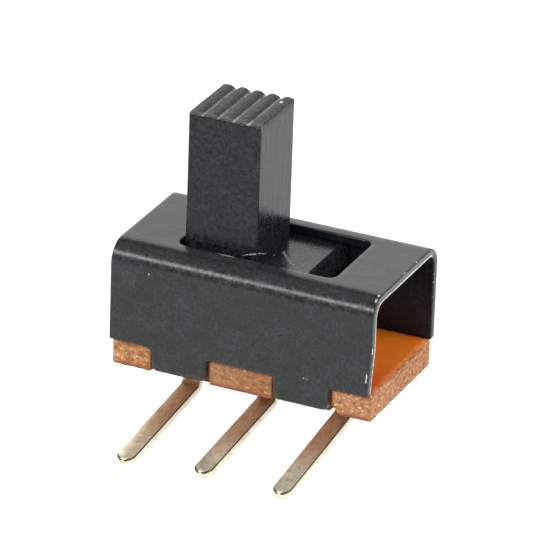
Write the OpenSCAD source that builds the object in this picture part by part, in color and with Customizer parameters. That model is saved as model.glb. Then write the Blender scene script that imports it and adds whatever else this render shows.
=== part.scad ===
// Right-angle slide switch: one changeover contact, three terminals in a row.
//
// A folded sheet cover grips a laminate base board. The slider's knob stands through
// the slot in the cover, and a sprung clip in its underside bridges two of the three
// terminal blades at a time. The terminals are bent forwards, so that the switch lies
// with its front wall flat against a circuit board and its knob beside that board.
//
// Frame: X runs along the slot, +Y points away from the circuit board, +Z runs up the
// knob. The origin is the middle of the front wall's outer face. Sizes are millimetres.

/* [Cover] */
// Length of the folded cover, along the slot
cover_l = 10.1; // [9.5:0.05:14]
// Depth of the cover over its front and back walls
cover_w = 5.65; // [5.4:0.05:7]
// Height of the cover's top face above the board's underside
cover_h = 4.74; // [4.5:0.02:6]
// Thickness of the sheet
sheet_t = 0.3; // [0.2:0.05:0.35]
// Outer radius of the two folds
fold_r = 0.8; // [0.5:0.05:1]
// Radius of the slot's corners
slot_r = 0.35; // [0.1:0.05:0.6]

/* [Cover tabs] */
// Width of each of the four tabs
tab_w = 2.07; // [1.5:0.01:2.4]
// Distance from the middle of the cover to the middle of a tab
tab_x = 2.36; // [2.2:0.01:3]
// Height of a tab's foot above the board's underside
tab_foot = 0.11; // [0:0.01:0.3]
// Angle by which the tabs are crimped inwards
tab_lean = 6; // [0:0.5:10]
// Radius of the corners at a tab's foot
tab_corner_r = 0.22; // [0.05:0.01:0.4]
// Radius of the fillets where a tab meets the wall's lower edge
tab_fillet_r = 0.16; // [0.05:0.01:0.3]

/* [Base board] */
// Thickness of the board
board_t = 1.05; // [0.8:0.05:1.5]
// Distance by which the board stops short of the cover's open ends
board_end_inset = 0.025; // [0:0.005:0.2]
// Distance from the cover's outer faces in to the board's long edges
board_side_inset = 0.225; // [0.1:0.005:0.25]
// Gap between a tab and each side of its notch
notch_gap = 0.1; // [0.02:0.01:0.2]
// Width of the chip broken from the notch corner at the front right
chip_w = 0.28; // [0.05:0.01:0.5]
// Height of that chip
chip_h = 0.38; // [0.05:0.01:0.7]
// Depth of that chip behind the front edge
chip_d = 0.6; // [0.1:0.05:1]

/* [Terminals] */
// Distance between neighbouring terminals
pitch = 3; // [2.9:0.05:4]
// Width of a terminal's strip
strip_w = 0.7; // [0.5:0.05:0.9]
// Thickness of the strip
strip_t = 0.3; // [0.2:0.05:0.4]
// Width of the contact blade above the board
blade_w = 0.95; // [0.75:0.05:1.2]
// Height of the contact blade above the board
blade_h = 1.4; // [0.8:0.05:1.5]
// Radius of the corners at the blade's top
blade_r = 0.2; // [0.05:0.05:0.35]
// Inner radius of the bend below the board
bend_r = 0.25; // [0.15:0.05:0.6]
// Length of the straight run in front of the bend
run_l = 5.4; // [3:0.05:9]
// Drop from the board's underside to the run of each terminal, left to right
drops = [1.39, 1.24, 1.08]; // [0.8:0.01:2]
// Angle of each run below level, left to right
tilts = [5.6, 4.6, 7.4]; // [0:0.1:12]
// Height of the staked ears that lock a terminal under the board
ear_h = 0.2; // [0.1:0.05:0.4]
// Reach of an ear to each side of the strip
ear_x = 0.12; // [0.05:0.01:0.2]
// Gap around the strip in its hole through the board
strip_gap = 0.02; // [0.01:0.01:0.05]

/* [Slider] */
// Length of the knob along the slot
knob_l = 2.76; // [2:0.02:3.2]
// Depth of the knob
knob_w = 2.86; // [2:0.02:3]
// Height of the knob above the cover
knob_h = 5; // [1:0.1:9]
// How much shorter the slider's travel is than the terminals' pitch
travel_short = 0.1; // [0:0.05:0.3]
// Gap left between the knob and each end of the slot
slot_end_gap = 0.19; // [0.1:0.01:0.4]
// Gap between the knob's front and back and the slot
slot_side_gap = 0.29; // [0.1:0.01:0.4]
// Distance between the ridges of the grip
ridge_pitch = 0.58; // [0.4:0.01:0.8]
// Radius of each ridge
ridge_r = 0.34; // [0.3:0.01:0.4]
// Distance from the knob's left face to the first ridge
ridge_first = 0.22; // [0:0.01:0.3]
// Number of ridges
ridges = 5; // [1:1:5]
// Height of the ridges above the plain edge at each end of the row
edge_drop = 0.02; // [0.01:0.01:0.1]
// Distance that the flange reaches past the knob at each end
flange_reach = 1.84; // [1.2:0.02:1.9]
// Thickness of the flange under the cover
flange_t = 1; // [0.6:0.05:1.2]
// Distance that the carrier under the flange reaches past the clip at each end
carrier_reach = 0.4; // [0.1:0.05:0.6]
// Wall of the carrier along each side of the clip's channel
carrier_wall = 0.6; // [0.3:0.05:1]
// Running gap around the slider, under the cover and over the board
run_gap = 0.05; // [0.03:0.01:0.1]
// Gap between the flange's long edges and the cover's walls
flange_side_gap = 0.1; // [0.05:0.01:0.3]

/* [Contact clip] */
// Thickness of the clip's sheet
clip_t = 0.15; // [0.1:0.01:0.2]
// Length of the web that joins the clip's two sides
web_l = 1.8; // [1:0.05:2]
// Gap between a finger's pinch and the blade
pinch_gap = 0.04; // [0.03:0.01:0.1]
// Length of each pinch
pinch_l = 0.7; // [0.4:0.05:0.8]
// Distance by which the fingers flare out beside a pinch
flare = 0.2; // [0.1:0.01:0.3]
// Length of the flared lead-in at each end
lead_in = 0.25; // [0.1:0.05:0.4]
// Gap between the blades' tops and the web
web_gap = 0.2; // [0.1:0.01:0.4]
// Height of the fingers' lower edges above the board
finger_lift = 0.25; // [0.1:0.01:0.5]

/* [Hidden] */
$fn = 48;
over = 0.5;                                   // how far a cut runs past a face

front_y = -cover_w / 2;                       // outer face of the front wall
wall_y = cover_w / 2 - sheet_t;               // inner face of either wall
ceiling_z = cover_h - sheet_t;                // underside of the cover's top
seat_z = (board_t + cover_h - fold_r) / 2;    // middle of the wall's flat face
board_l = cover_l - 2 * board_end_inset;
board_w = cover_w - 2 * board_side_inset;

travel = pitch - travel_short;
slot_l = travel + knob_l + 2 * slot_end_gap;
slot_w = knob_w + 2 * slot_side_gap;
rest_x = -travel / 2;                         // the knob's middle, at the left position

pinch_y = strip_t / 2 + pinch_gap;            // inner face of a pinch
pinch_in = (pitch - pinch_l) / 2;
pinch_out = (pitch + pinch_l) / 2;
clip_l = 2 * (pinch_out + lead_in);
web_z = board_t + blade_h + web_gap;
channel_w = 2 * (pinch_y + flare + clip_t + run_gap);
carrier_l = clip_l + 2 * carrier_reach;
carrier_w = channel_w + 2 * carrier_wall;
carrier_low_z = board_t + run_gap;

flange_top_z = ceiling_z - run_gap;
flange_low_z = flange_top_z - flange_t;
flange_w = 2 * (wall_y - flange_side_gap);
flange_l = knob_l + 2 * flange_reach;
flange_edge = fold_r - sheet_t;               // chamfer that clears the folds inside
knob_top_z = cover_h + knob_h;
ridge_root = 0.05;                            // how far the core rises past the ridges' axes

// Everything below is drawn about the middle of the board's underside, then moved here.
module in_seat_frame() translate([0, -front_y, -seat_z]) children();

// Rectangle about the middle of its lower edge, with round corners above, below or both.
module plate_2d(w, h, r_top, r_low) {
    module round_end(r, y, direction) if (r > 0) {
        translate([0, y - direction * r / 2]) square([w - 2 * r, r], center = true);
        for (s = [-1, 1]) translate([s * (w / 2 - r), y - direction * r]) circle(r);
    }
    translate([-w / 2, r_low]) square([w, h - r_top - r_low]);
    round_end(r_top, h, 1);
    round_end(r_low, 0, -1);
}

// Rectangle about its own middle with four equal round corners.
module round_rect_2d(l, w, r) {
    square([l, w - 2 * r], center = true);
    square([l - 2 * r, w], center = true);
    for (x = [-1, 1], y = [-1, 1]) translate([x * (l / 2 - r), y * (w / 2 - r)]) circle(r);
}

// A tab's outline, hanging down from its root at y = 0 and flaring into the wall's edge.
module tab_2d(w, drop, corner_r) {
    translate([0, -drop]) plate_2d(w, drop, 0, corner_r);
    for (s = [-1, 1]) difference() {
        translate([s * (3 * w / 8 + tab_fillet_r / 2), -tab_fillet_r / 2])
            square([w / 4 + tab_fillet_r, tab_fillet_r], center = true);
        translate([s * (w / 2 + tab_fillet_r), -tab_fillet_r]) circle(tab_fillet_r);
    }
}

// Four plates of a tab's outline on the walls' lower edges, crimped in about their roots.
module at_tabs() {
    for (side = [0, 1], s = [-1, 1])
        mirror([0, side, 0]) translate([s * tab_x, front_y, board_t])
            rotate([90 + tab_lean, 0, 0]) translate([0, 0, -sheet_t])
                linear_extrude(sheet_t) children();
}

module cover() {
    color([0.25, 0.26, 0.26]) in_seat_frame() {
        difference() {
            rotate([90, 0, 90]) translate([0, board_t, -cover_l / 2])
                linear_extrude(cover_l) difference() {
                    plate_2d(cover_w, cover_h - board_t, fold_r, 0);
                    translate([0, -over]) plate_2d(cover_w - 2 * sheet_t,
                        cover_h - board_t - sheet_t + over, fold_r - sheet_t, 0);
                }
            translate([0, 0, ceiling_z - over]) linear_extrude(sheet_t + 2 * over)
                round_rect_2d(slot_l, slot_w, slot_r);
        }
        at_tabs() tab_2d(tab_w, board_t - tab_foot, tab_corner_r);
    }
}

module base_board() {
    notch_side = tab_x + tab_w / 2 + notch_gap;
    color([0.80, 0.50, 0.28]) in_seat_frame() difference() {
        translate([-board_l / 2, -board_w / 2, 0]) cube([board_l, board_w, board_t]);
        at_tabs() tab_2d(tab_w + 2 * notch_gap, board_t + over, 0);
        for (x = [-pitch, 0, pitch]) translate([x, 0, board_t / 2])
            cube([strip_w + 2 * strip_gap, strip_t + 2 * strip_gap, board_t + 2 * over],
                 center = true);
        translate([notch_side, chip_d - board_w / 2, 0]) rotate([90, 0, 0])
            linear_extrude(chip_d + over)
                polygon([[-notch_gap, -over], [chip_w, -over], [chip_w, 0], [0, chip_h],
                         [-notch_gap, chip_h]]);
    }
}

// Points of an arc about c, from angle a to angle b.
function arc(c, r, a, b, steps = 12) =
    [for (i = [0 : steps]) let (t = a + (b - a) * i / steps) c + r * [cos(t), sin(t)]];

// A terminal's leg, bend and run from the side: first axis +Y, second axis +Z.
module strip_side_2d(drop, tilt) {
    centre = [-strip_t / 2 - bend_r, bend_r - drop];
    end_angle = tilt - 90;
    forward = [-cos(tilt), -sin(tilt)];
    outside = arc(centre, bend_r + strip_t, 0, end_angle);
    inside = arc(centre, bend_r, end_angle, 0);
    polygon(concat([[strip_t / 2, board_t + blade_h / 2]], outside,
                   [outside[len(outside) - 1] + run_l * forward, inside[0] + run_l * forward],
                   inside, [[-strip_t / 2, board_t + blade_h / 2]]));
}

// One stamped terminal: a blade above the board, a leg through it, staked ears, a bend
// and a run that reaches forwards and ends in a round tip.
module terminal(x, drop, tilt) {
    color([0.80, 0.76, 0.68]) in_seat_frame() translate([x, 0, 0]) difference() {
        union() {
            rotate([90, 0, 90]) translate([0, 0, -strip_w / 2]) linear_extrude(strip_w)
                strip_side_2d(drop, tilt);
            translate([0, strip_t / 2, board_t]) rotate([90, 0, 0]) linear_extrude(strip_t)
                plate_2d(blade_w, blade_h, blade_r, 0);
            translate([-strip_w / 2 - ear_x, -strip_t / 2, -ear_h])
                cube([strip_w + 2 * ear_x, strip_t, ear_h]);
        }
        translate([0, -strip_t / 2 - bend_r, bend_r - drop]) rotate([tilt, 0, 0])
            translate([0, strip_w / 2 - run_l, -bend_r - strip_t - over]) difference() {
                translate([-strip_w, -strip_w, 0])
                    cube([2 * strip_w, strip_w, strip_t + 2 * over]);
                cylinder(h = strip_t + 2 * over, r = strip_w / 2);
            }
    }
}

module terminal_left() terminal(-pitch, drops[0], tilts[0]);
module terminal_middle() terminal(0, drops[1], tilts[1]);
module terminal_right() terminal(pitch, drops[2], tilts[2]);

// Knob with a row of round ridges across its top, between two plain edges.
module knob() {
    core_top = knob_top_z - ridge_r + ridge_root;
    first_x = ridge_first - knob_l / 2;
    last_x = first_x + (ridges - 1) * ridge_pitch;
    translate([-knob_l / 2, -knob_w / 2, flange_low_z + flange_t / 2])
        cube([knob_l, knob_w, core_top - flange_low_z - flange_t / 2]);
    intersection() {
        translate([0, 0, core_top]) cube([knob_l, knob_w, 2 * ridge_r], center = true);
        union() {
            for (i = [0 : ridges - 1])
                translate([first_x + i * ridge_pitch, 0, knob_top_z - ridge_r])
                    rotate([90, 0, 0])
                        cylinder(h = knob_w + over, r = ridge_r, center = true);
            for (x = [first_x - knob_l, last_x])
                translate([x, -knob_w, knob_top_z - ridge_r])
                    cube([knob_l, 2 * knob_w, ridge_r - edge_drop]);
        }
    }
}

module slider() {
    color([0.13, 0.13, 0.14]) in_seat_frame() translate([rest_x, 0, 0]) difference() {
        union() {
            knob();
            rotate([90, 0, 90]) translate([0, flange_low_z, -flange_l / 2])
                linear_extrude(flange_l) polygon([
                    [-flange_w / 2, 0], [flange_w / 2, 0],
                    [flange_w / 2, flange_t - flange_edge],
                    [flange_w / 2 - flange_edge, flange_t],
                    [flange_edge - flange_w / 2, flange_t],
                    [-flange_w / 2, flange_t - flange_edge]]);
            translate([-carrier_l / 2, -carrier_w / 2, carrier_low_z])
                cube([carrier_l, carrier_w, flange_low_z + flange_t / 2 - carrier_low_z]);
        }
        translate([-carrier_l / 2 - over, -channel_w / 2, carrier_low_z - over])
            cube([carrier_l + 2 * over, channel_w, web_z - carrier_low_z + over]);
        translate([-web_l / 2, -channel_w / 2, web_z - over])
            cube([web_l, channel_w, clip_t + over]);
    }
}

// One side of the clip in plan: it flares at both ends and pinches at one pitch apart.
module finger_2d() {
    inside = [[-clip_l / 2, pinch_y + flare], [-pinch_out, pinch_y], [-pinch_in, pinch_y],
              [-web_l / 2, pinch_y + flare], [web_l / 2, pinch_y + flare],
              [pinch_in, pinch_y], [pinch_out, pinch_y], [clip_l / 2, pinch_y + flare]];
    outside = [for (i = [len(inside) - 1 : -1 : 0]) inside[i] + [0, clip_t]];
    polygon(concat(inside, outside));
}

module contact_clip() {
    finger_low_z = board_t + finger_lift;
    color([0.85, 0.72, 0.45]) in_seat_frame() translate([rest_x, 0, 0]) {
        for (side = [0, 1]) mirror([0, side, 0]) translate([0, 0, finger_low_z])
            linear_extrude(web_z - finger_low_z) finger_2d();
        translate([-web_l / 2, -channel_w / 2, web_z]) cube([web_l, channel_w, clip_t]);
    }
}

cover();
base_board();
terminal_left();
terminal_middle();
terminal_right();
slider();
contact_clip();
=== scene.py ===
# %% [markdown]
# # A right-angle slide switch
#
# The switch is seven pieces: a folded steel cover, a laminate board, three tinned
# terminals, one moulded slider and a bronze clip inside it. A CAD model of the same
# pieces is loaded first, and its boxes fix where the pieces sit. Each cell then makes
# one piece or one finish as the factory would.

# %% Load the fixed frame
import math

import bmesh
import bpy
import numpy as np
from mathutils import Matrix, Vector, noise
from mathutils.geometry import delaunay_2d_cdt


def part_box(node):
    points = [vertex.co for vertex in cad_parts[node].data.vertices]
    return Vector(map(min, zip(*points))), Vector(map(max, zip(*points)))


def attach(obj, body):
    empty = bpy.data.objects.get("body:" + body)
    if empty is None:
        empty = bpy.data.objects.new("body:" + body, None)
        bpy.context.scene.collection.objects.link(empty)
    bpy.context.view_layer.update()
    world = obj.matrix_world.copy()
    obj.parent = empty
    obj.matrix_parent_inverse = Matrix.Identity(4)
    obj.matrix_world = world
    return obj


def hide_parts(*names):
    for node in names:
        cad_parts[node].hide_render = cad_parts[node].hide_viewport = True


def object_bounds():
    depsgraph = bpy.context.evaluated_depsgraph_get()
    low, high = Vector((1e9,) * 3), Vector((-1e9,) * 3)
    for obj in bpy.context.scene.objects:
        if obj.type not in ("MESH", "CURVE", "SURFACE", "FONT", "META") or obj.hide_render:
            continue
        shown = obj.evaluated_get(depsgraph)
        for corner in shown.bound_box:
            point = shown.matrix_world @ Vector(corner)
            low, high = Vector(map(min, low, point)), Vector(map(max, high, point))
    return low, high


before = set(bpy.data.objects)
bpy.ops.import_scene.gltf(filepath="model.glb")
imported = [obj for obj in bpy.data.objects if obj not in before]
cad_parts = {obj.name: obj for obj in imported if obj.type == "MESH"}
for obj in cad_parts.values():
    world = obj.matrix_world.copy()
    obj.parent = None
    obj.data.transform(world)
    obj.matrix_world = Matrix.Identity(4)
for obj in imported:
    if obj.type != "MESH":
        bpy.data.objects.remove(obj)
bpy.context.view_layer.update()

# %% [markdown]
# ## Working in millimetres
#
# Blender works in metres, and this switch is a centimetre long. Every shape below is
# written in millimetres about the middle of the board's underside, and one function
# takes it to its place. The place comes from the boxes of the CAD pieces. X runs
# along the switch, Y from front to back, and Z up.

# %% Millimetres to the shared frame
MM = 0.001
board_low, board_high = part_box("base_board")
cover_low, cover_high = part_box("cover")
SEAT = np.array([0.0, (cover_low.y + cover_high.y) / 2, board_low.z])

BOARD_T = 1.05
COVER_L, COVER_W, COVER_H = 10.1, 5.65, 4.74
SHEET_T, FOLD_R = 0.3, 0.8
KNOB_L, KNOB_W, KNOB_TOP = 2.76, 2.86, COVER_H + 5.0
TRAVEL = 2.9
REST_X = -TRAVEL / 2
FLANGE_TOP = 4.39


def in_frame(points):
    """Millimetres about the board's underside to metres in the shared frame."""
    return np.asarray(points, float) * MM + SEAT


print("seat in mm:", np.round(SEAT / MM, 3))

# %% [markdown]
# ## The camera
#
# A long lens from far away flattens the perspective. The camera's axes are worked out
# as vectors, then turned a little about the line of sight.

# %% Camera
AZIMUTH, ELEVATION, ROLL = math.radians(23.796), math.radians(25.178), math.radians(2.077)
DISTANCE, LENS = 193.96, 354.04
TARGET = (0.2327, 0.0, 3.345)

backward = Vector((math.sin(AZIMUTH) * math.cos(ELEVATION),
                   -math.cos(AZIMUTH) * math.cos(ELEVATION), math.sin(ELEVATION)))
level = Vector((0, 0, 1)).cross(backward).normalized()
upright = backward.cross(level)
rightward = level * math.cos(ROLL) + upright * math.sin(ROLL)
upward = upright * math.cos(ROLL) - level * math.sin(ROLL)

camera = bpy.data.objects.new("camera", bpy.data.cameras.new("camera"))
camera.data.lens = LENS
camera.data.sensor_width = 36
camera.data.clip_start, camera.data.clip_end = 0.01, 10
place = Vector(in_frame(TARGET)) + backward * DISTANCE * MM
camera.matrix_world = Matrix((rightward, upward, backward)).transposed().to_4x4()
camera.location = place
bpy.context.scene.collection.objects.link(camera)
bpy.context.scene.camera = camera
print("camera stands at", [round(v, 4) for v in place])

# %% [markdown]
# ## Small tools for node trees
#
# A material is a graph of nodes. `Graph` holds one tree and has a short method for
# each kind of node. A socket given as an input becomes a link, and anything else
# becomes that input's value. `new_group` makes a shader node group with named inputs
# and outputs, so that one effect can serve many materials.

# %% Node tools


class Graph:
    """A node tree, with a short method for each kind of node."""

    def __init__(self, tree):
        self.tree = tree

    def give(self, node, inputs):
        """Links or sets a node's inputs."""
        for name, value in inputs.items():
            if isinstance(value, bpy.types.NodeSocket):
                self.tree.links.new(value, node.inputs[name])
            else:
                node.inputs[name].default_value = value

    def add(self, kind, inputs=None, **settings):
        """A new node. Its settings come first, because some change its inputs."""
        node = self.tree.nodes.new(kind)
        for name, value in settings.items():
            setattr(node, name, value)
        self.give(node, inputs or {})
        return node

    def calc(self, operation, a, b=0.0, clamp=False):
        """One sum of two values."""
        return self.add("ShaderNodeMath", {0: a, 1: b}, operation=operation, use_clamp=clamp).outputs[0]

    def plus(self, a, b):
        """Two values added."""
        return self.calc("ADD", a, b)

    def minus(self, a, b):
        """One value less another."""
        return self.calc("SUBTRACT", a, b)

    def times(self, a, b):
        """Two values multiplied."""
        return self.calc("MULTIPLY", a, b)

    def vector(self, operation, a, b, result="Vector"):
        """One sum of two vectors."""
        return self.add("ShaderNodeVectorMath", {0: a, 1: b}, operation=operation).outputs[result]

    def remap(self, value, low, high, to_low=0.0, to_high=1.0):
        """A value moved from one range to another, clamped."""
        return self.add("ShaderNodeMapRange",
                        {0: value, 1: low, 2: high, 3: to_low, 4: to_high}).outputs[0]

    def tint(self, factor, *colours):
        """Two colours, or sockets, mixed by a factor."""
        a, b = (c if isinstance(c, bpy.types.NodeSocket) else (*c, 1) for c in colours)
        return self.add("ShaderNodeMix", {0: factor, 6: a, 7: b}, data_type="RGBA").outputs[2]

    def blend(self, factor, a, b):
        """Two values, or sockets, mixed by a factor."""
        return self.add("ShaderNodeMix", {0: factor, 2: a, 3: b}, data_type="FLOAT").outputs[0]

    def mask(self, name):
        """A mask that a mesh carries on its points."""
        return self.add("ShaderNodeAttribute", attribute_name=name).outputs["Fac"]

    def millimetres(self, x=1.0, y=1.0, z=1.0):
        """Object coordinates in millimetres, each stretched by its own factor."""
        coords = self.add("ShaderNodeTexCoord").outputs["Object"]
        return self.vector("MULTIPLY", coords, (x / MM, y / MM, z / MM))

    def noise(self, vector, scale, detail, roughness=0.5):
        """One noise value over a vector."""
        return self.add("ShaderNodeTexNoise", {"Vector": vector, "Scale": scale,
                        "Detail": detail, "Roughness": roughness}).outputs[0]

    def bump(self, strength, depth, height):
        """A normal that follows a height, its depth in millimetres."""
        return self.add("ShaderNodeBump", {"Strength": strength, "Distance": depth * MM,
                                           "Height": height}).outputs[0]

    def group(self, group, **inputs):
        """The outputs of a node group that is placed here with its own values."""
        return self.add("ShaderNodeGroup", inputs, node_tree=group.tree).outputs


def new_group(name, inputs, outputs):
    """A shader group's graph, inputs and output node. A default of None is a vector."""
    tree = bpy.data.node_groups.new(name, "ShaderNodeTree")
    for label, default in inputs.items():
        kind = "NodeSocketVector" if default is None else "NodeSocketFloat"
        socket = tree.interface.new_socket(label, in_out="INPUT", socket_type=kind)
        if default is not None:
            socket.default_value = default
    for label in outputs:
        tree.interface.new_socket(label, in_out="OUTPUT", socket_type="NodeSocketFloat")
    graph = Graph(tree)
    return graph, graph.add("NodeGroupInput").outputs, graph.add("NodeGroupOutput")


def new_material(name):
    """A material with a Principled shader, its graph, and that shader."""
    material = bpy.data.materials.new(name)
    material.use_nodes = True
    tree = material.node_tree
    return material, Graph(tree), tree.nodes["Principled BSDF"]


print("node tools ready")

# %% [markdown]
# ## Effects that every finish shares
#
# `mottle` gives two sizes of soft patches, in millimetres on the piece itself.
# `streaks` stretches the same noise, for drawn metal and moulded lines. `wear` breaks
# a mask's border with noise, because a clean mask looks painted on. `scrape` is 1 on
# a line between two points and fades to 0 at its reach: nicks and specks are made so.

# %% Shader groups
mottle, given, result = new_group("mottle", {"Patch": 0.5, "Grain": 0.08}, ["Patches", "Grains"])
for size, target, detail in (("Patch", "Patches", 5.0), ("Grain", "Grains", 3.0)):
    scale = mottle.calc("DIVIDE", 1.0, given[size])
    mottle.give(result, {target: mottle.noise(mottle.millimetres(), scale, detail, 0.6)})

wear, given, result = new_group("wear", {"Mask": 0.0, "Size": 0.15, "Amount": 0.5}, ["Worn"])
scale = wear.calc("DIVIDE", 1.0, given["Size"])
breakup = wear.remap(wear.noise(wear.millimetres(), scale, 4.0, 0.6), 0.3, 0.7)
edge = wear.minus(wear.plus(given["Mask"], given["Amount"]), breakup)
wear.give(result, {"Worn": wear.times(wear.remap(edge, 0.4, 0.65),
                                      wear.calc("GREATER_THAN", given["Mask"], 0.001))})

streaks, given, result = new_group("streaks", {"Along": 8.0, "Across": 60.0}, ["Lengthwise", "Upright"])
for target, along_axis in (("Lengthwise", 1), ("Upright", 2)):
    stretch = streaks.add("ShaderNodeCombineXYZ", {
        axis: given["Along" if axis == along_axis else "Across"] for axis in range(3)})
    vector = streaks.vector("MULTIPLY", streaks.millimetres(), stretch.outputs[0])
    streaks.give(result, {target: streaks.noise(vector, 1.0, 3.0)})

scrape, given, result = new_group("scrape", {"Reach": 0.1, "From": None, "To": None}, ["Mask"])
line = scrape.vector("SUBTRACT", given["To"], given["From"])
out_of = scrape.vector("SUBTRACT", scrape.millimetres(), given["From"])
length_squared = scrape.vector("DOT_PRODUCT", line, line, "Value")
share = scrape.calc("DIVIDE", scrape.vector("DOT_PRODUCT", out_of, line, "Value"),
                    scrape.calc("MAXIMUM", length_squared, 1e-6), clamp=True)
gap = scrape.vector("DISTANCE", out_of, scrape.vector("MULTIPLY", line, share), "Value")
scrape.give(result, {"Mask": scrape.calc("SUBTRACT", 1.0, scrape.calc(
    "DIVIDE", gap, given["Reach"]), clamp=True)})


def scraped(graph, marks):
    """The strongest of several scrapes, each (from, to, reach, strength)."""
    mask = 0.0
    for start, stop, reach, strength in marks:
        ends = {"From": tuple(np.array(start) + SEAT / MM), "To": tuple(np.array(stop) + SEAT / MM)}
        one = graph.times(graph.group(scrape, Reach=reach, **ends)[0], strength)
        mask = graph.calc("MAXIMUM", mask, one)
    return mask


print("shader groups:", [g.name for g in bpy.data.node_groups])

# %% [markdown]
# ## Black coated steel
#
# The coat is nearly black: what greys its top is the sheen at a low angle, so the
# colour stays dark and the roughness does the work. The mesh carries two masks. `cut`
# is 1 on the cut edges, which are a little paler. Below 0, on the inner faces, the
# slot's walls and the back wall's cut edges, it paints shade where little light gets in.
# `bare` is the lip of the open ends, rubbed to bright steel. The scrapes are a dot, a
# crescent dent with its highlight painted bright, nicks, two nicks on the fold painted
# bright as glints, and a burr along the slot.

# %% Cover finish
cover_steel, g, shader = new_material("cover_steel")
patches, grains = g.group(mottle, Patch=0.8, Grain=0.12)
coat = g.tint(g.remap(patches, 0.35, 0.65), (0.015, 0.019, 0.017), (0.034, 0.033, 0.036))
coat = g.tint(g.remap(grains, 0.30, 0.62), (0.010, 0.012, 0.013), coat)
cut = g.mask("cut")
# Painted shade: where `cut` is below 0 the coat turns darker and bluer.
coat = g.tint(g.remap(cut, -1.0, 0.0, 0.85, 0.0), coat, (0.003, 0.006, 0.008))
coat = g.tint(g.times(cut, 0.7), coat, (0.075, 0.076, 0.074))

wall, slot_edge, end, top = -COVER_W / 2, -1.72, COVER_L / 2, COVER_H
dot = [((-3.553, wall, 3.875), (-3.55, wall, 3.87), 0.06, 1.6)]
# The crescent is a dent in the relief, with its highlight painted bright.
crescent = [((2.34, wall, 1.20), (2.50, wall, 1.245), 0.045, 1.25),
            ((2.50, wall, 1.245), (2.64, wall, 1.225), 0.045, 1.1)]
end_nicks = [((4.86, wall, 1.62), (4.88, wall, 1.93), 0.05, 1.35),
             ((end, wall + 0.05, 2.95), (end, wall + 0.05, 2.78), 0.07, 1.4),
             ((5.0, -0.20, top), (5.01, -0.05, top), 0.05, 1.3),
             ((5.0, 0.90, top), (5.01, 0.98, top), 0.045, 1.3)]
# Two nicks on the fold, painted bright where they catch the light: painted glints.
fold_nick_glints = [((4.94, -2.165, 4.728), (4.945, -2.22, 4.716), 0.06, 1.8),
              ((4.948, -2.40, 4.645), (4.952, -2.46, 4.61), 0.07, 1.8)]
slot_burr = [((-1.62, slot_edge, top), (-1.20, slot_edge - 0.06, top), 0.06, 1.3),
             ((-1.20, slot_edge - 0.06, top), (-0.80, slot_edge - 0.04, top), 0.10, 2.2),
             ((-0.80, slot_edge, top), (-0.62, slot_edge + 0.01, top), 0.05, 1.5)]
marks = scraped(g, dot + crescent + end_nicks + fold_nick_glints + slot_burr)
# The fold's glints and the crescent's highlight go into `bare` as painted highlights.
bare = g.group(wear, Mask=g.calc("MAXIMUM", g.mask("bare"), marks), Size=0.12, Amount=0.15)[0]
relief = g.minus(g.plus(grains, g.times(patches, 0.8)), g.times(marks, 2.0))
g.give(shader, {
    "Base Color": g.tint(bare, coat, (0.60, 0.59, 0.57)),
    "Metallic": g.times(bare, 0.6),
    "Roughness": g.blend(bare, g.remap(grains, 0.3, 0.7, 0.16, 0.34), 0.45),
    "Specular IOR Level": 0.25,
    "Normal": g.bump(0.8, 0.006, relief)})
print("cover finish:", len(g.tree.nodes), "nodes")

# %% [markdown]
# ## Paper laminate
#
# The board is layers of paper pressed in resin. Its faces are smooth and amber; the
# top has painted shade near the cover's front wall, and the underside is painted darker
# as shade. Its punched edges are rough, speckled and in thin level layers, so their
# noise is squeezed along Z. Painted shade darkens the middle of the front edge and the
# notches. The mesh says which points are on an edge (`cut`), in a notch, near the
# edge's upper or lower rim (`brink`) and on the underside (`under`).

# %% Laminate finish
laminate, g, shader = new_material("laminate")
fibre = g.noise(g.millimetres(4.0, 4.0, 7.0), 1.0, 5.0, 0.65)
specks = g.noise(g.millimetres(7.0, 7.0, 9.0), 1.0, 2.0, 0.6)
cloud, cloud_grains = g.group(mottle, Patch=1.1, Grain=0.12)
blush = g.group(mottle, Patch=2.4, Grain=0.3)[0]

face = g.tint(g.remap(cloud, 0.35, 0.65), (0.93, 0.175, 0.006), (0.98, 0.255, 0.014))
# Painted shade: the top turns deeper red near the cover's front wall, at the open end.
wall_shade = scraped(g, [((5.3, -2.3, BOARD_T), (3.2, -2.3, BOARD_T), 2.2, 1.0)])
face = g.tint(wall_shade, face, (0.80, 0.085, 0.004))
# Painted shade: the underside is a darker brown.
face = g.tint(g.mask("under"), face, (0.30, 0.105, 0.030))

edge = g.tint(g.remap(fibre, 0.38, 0.60), (0.20, 0.066, 0.017), (0.41, 0.190, 0.072))
edge = g.tint(g.times(g.remap(blush, 0.5, 0.62), 0.25), edge, (0.46, 0.23, 0.15))
edge = g.tint(g.remap(specks, 0.60, 0.74), edge, (0.66, 0.50, 0.27))
edge = g.tint(g.remap(specks, 0.42, 0.30), edge, (0.20, 0.062, 0.020))
# Painted shade: the front edge is darker in the middle, between the tabs.
middle_edge_shade = scraped(g, [((-0.9, -2.6, 0.5), (0.9, -2.6, 0.5), 1.3, 0.45)])
edge = g.tint(middle_edge_shade, edge, (0.145, 0.062, 0.018))
rim_shade = g.times(g.mask("brink"), g.remap(fibre, 0.20, 0.55, 0.35, 1.0))
edge = g.tint(rim_shade, edge, (0.20, 0.045, 0.015))
# Painted shade in the notches behind the tabs.
edge = g.tint(g.times(g.mask("notch"), 0.85), edge, (0.11, 0.030, 0.014))

cut = g.mask("cut")
relief = g.blend(cut, g.times(cloud_grains, 0.1), g.plus(fibre, specks))
g.give(shader, {"Base Color": g.tint(cut, face, edge), "Roughness": g.blend(cut, 0.30, 0.85),
                "Normal": g.bump(0.8, 0.03, relief)})
print("laminate finish:", len(g.tree.nodes), "nodes")
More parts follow.
